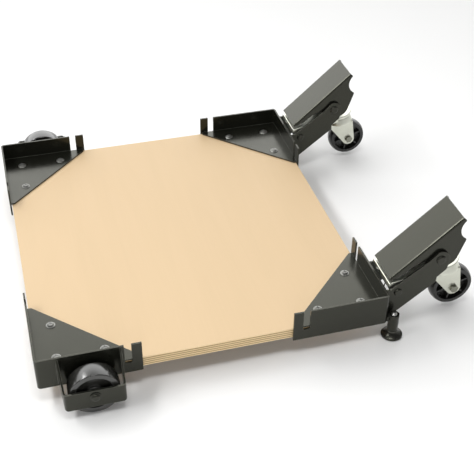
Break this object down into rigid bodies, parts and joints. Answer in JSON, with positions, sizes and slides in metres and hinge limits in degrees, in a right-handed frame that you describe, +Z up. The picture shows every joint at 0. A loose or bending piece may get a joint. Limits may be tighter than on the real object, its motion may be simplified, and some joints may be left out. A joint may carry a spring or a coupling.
{
  "type": "mobile machine base",
  "caption": "Low rolling base for a shop machine: plywood deck in slotted steel corner brackets, fixed wheels on one side, pedal-lowered swivel casters and levelling feet on the other.",
  "frame": {"origin": "on the floor, under the middle of the whole base", "axes": "+Z up from the floor; +X from the fixed-wheel side to the pedal side; +Y from the front to the back"},
  "size_m": [0.7438, 0.7414, 0.207],
  "materials": {
    "black_hardware": "black-painted pin and bolt heads",
    "black_paint": "satin black powder coat",
    "black_pedal": "satin black powder coat, worn where feet press",
    "bush_plastic": "natural nylon",
    "caster_wheel_black": "satin black moulded wheel",
    "foot_steel": "black foot, bright thread at the top",
    "plywood": "clear-sealed birch-like veneer, layered edge",
    "screw_zinc": "zinc-plated steel",
    "spring_steel": "oiled spring steel",
    "wheel_black": "satin black moulded wheel",
    "zinc_plate": "bright zinc plate"
  },
  "bodies": {
    "base": {"arm_plate_back_far": "black_paint", "arm_plate_back_near": "black_paint", "arm_plate_front_far": "black_paint", "arm_plate_front_near": "black_paint", "axle_boss_back": "black_paint", "axle_boss_front": "black_paint", "bracket_back_left": "black_paint", "bracket_back_right": "black_paint", "bracket_front_left": "black_paint", "bracket_front_right": "black_paint", "deck_panel": "plywood", "deck_screws_back_left": "screw_zinc", "deck_screws_back_right": "screw_zinc", "deck_screws_front_left": "screw_zinc", "deck_screws_front_right": "screw_zinc", "fixed_axle_bolt_back": "black_hardware", "fixed_axle_bolt_front": "black_hardware", "fixed_wheel_bush_back": "bush_plastic", "fixed_wheel_bush_front": "bush_plastic", "foot_nut_back": "black_hardware", "foot_nut_front": "black_hardware", "foot_tube_back": "black_paint", "foot_tube_front": "black_paint", "lift_pin_back": "black_hardware", "lift_pin_front": "black_hardware", "pedal_pin_back": "black_hardware", "pedal_pin_front": "black_hardware", "wheel_strap_back": "black_paint", "wheel_strap_front": "black_paint"},
    "fixed_wheel_front_body": {"fixed_wheel_front": "wheel_black"},
    "pedal_front_body": {"pedal_front": "black_pedal"},
    "lift_front_body": {"lift_plate_front": "zinc_plate", "lift_spring_front": "spring_steel", "race_cap_front": "zinc_plate", "kingpin_front": "screw_zinc", "kingpin_nut_front": "screw_zinc"},
    "fork_front_body": {"caster_fork_front": "zinc_plate", "swivel_balls_front": "screw_zinc", "caster_bush_front": "bush_plastic", "caster_axle_bolt_front": "zinc_plate", "caster_axle_nut_front": "zinc_plate"},
    "caster_wheel_front_body": {"caster_wheel_front": "caster_wheel_black"},
    "foot_front_body": {"levelling_foot_front": "foot_steel"},
    "fixed_wheel_back_body": {"fixed_wheel_back": "wheel_black"},
    "pedal_back_body": {"pedal_back": "black_pedal"},
    "lift_back_body": {"lift_plate_back": "zinc_plate", "lift_spring_back": "spring_steel", "race_cap_back": "zinc_plate", "kingpin_back": "screw_zinc", "kingpin_nut_back": "screw_zinc"},
    "fork_back_body": {"caster_fork_back": "zinc_plate", "swivel_balls_back": "screw_zinc", "caster_bush_back": "bush_plastic", "caster_axle_bolt_back": "zinc_plate", "caster_axle_nut_back": "zinc_plate"},
    "caster_wheel_back_body": {"caster_wheel_back": "caster_wheel_black"},
    "foot_back_body": {"levelling_foot_back": "foot_steel"}
  },
  "joints": [
    {"name": "fixed_wheel_front_roll", "type": "hinge", "parent": "base", "child": "fixed_wheel_front_body", "pos_m": [-0.28989, -0.346, 0.04], "axis": [0, 1, 0], "continuous": true},
    {"name": "pedal_front_press", "type": "hinge", "parent": "base", "child": "pedal_front_body", "pos_m": [0.28711, -0.2655, 0.134], "axis": [0, 1, 0], "range_deg": [0, 69.8]},
    {"name": "lift_front_swing", "type": "hinge", "parent": "base", "child": "lift_front_body", "pos_m": [0.21811, -0.2655, 0.081], "axis": [0, 1, 0], "range_deg": [0, 4.94]},
    {"name": "caster_front_swivel", "type": "hinge", "parent": "lift_front_body", "child": "fork_front_body", "pos_m": [0.31538, -0.2655, 0.09294], "axis": [-0.1219, 0, 0.9925], "continuous": true},
    {"name": "caster_front_roll", "type": "hinge", "parent": "fork_front_body", "child": "caster_wheel_front_body", "pos_m": [0.33379, -0.2655, 0.04563], "axis": [0, 1, 0], "continuous": true},
    {"name": "foot_front_screw", "type": "slide", "parent": "base", "child": "foot_front_body", "axis": [0, 0, -1], "range_m": [0, 0.012]},
    {"name": "fixed_wheel_back_roll", "type": "hinge", "parent": "base", "child": "fixed_wheel_back_body", "pos_m": [-0.28989, 0.346, 0.04], "axis": [0, 1, 0], "continuous": true},
    {"name": "pedal_back_press", "type": "hinge", "parent": "base", "child": "pedal_back_body", "pos_m": [0.28711, 0.233, 0.134], "axis": [0, 1, 0], "range_deg": [0, 69.8]},
    {"name": "lift_back_swing", "type": "hinge", "parent": "base", "child": "lift_back_body", "pos_m": [0.21811, 0.233, 0.081], "axis": [0, 1, 0], "range_deg": [0, 4.94]},
    {"name": "caster_back_swivel", "type": "hinge", "parent": "lift_back_body", "child": "fork_back_body", "pos_m": [0.31538, 0.233, 0.09294], "axis": [-0.1219, 0, 0.9925], "continuous": true},
    {"name": "caster_back_roll", "type": "hinge", "parent": "fork_back_body", "child": "caster_wheel_back_body", "pos_m": [0.33379, 0.233, 0.04563], "axis": [0, 1, 0], "continuous": true},
    {"name": "foot_back_screw", "type": "slide", "parent": "base", "child": "foot_back_body", "axis": [0, 0, -1], "range_m": [0, 0.012]}
  ],
  "couplings": [
    {"joint": "lift_front_swing", "follows": "pedal_front_press", "ratio": 0.0707},
    {"joint": "lift_back_swing", "follows": "pedal_back_press", "ratio": 0.0707}
  ]
}
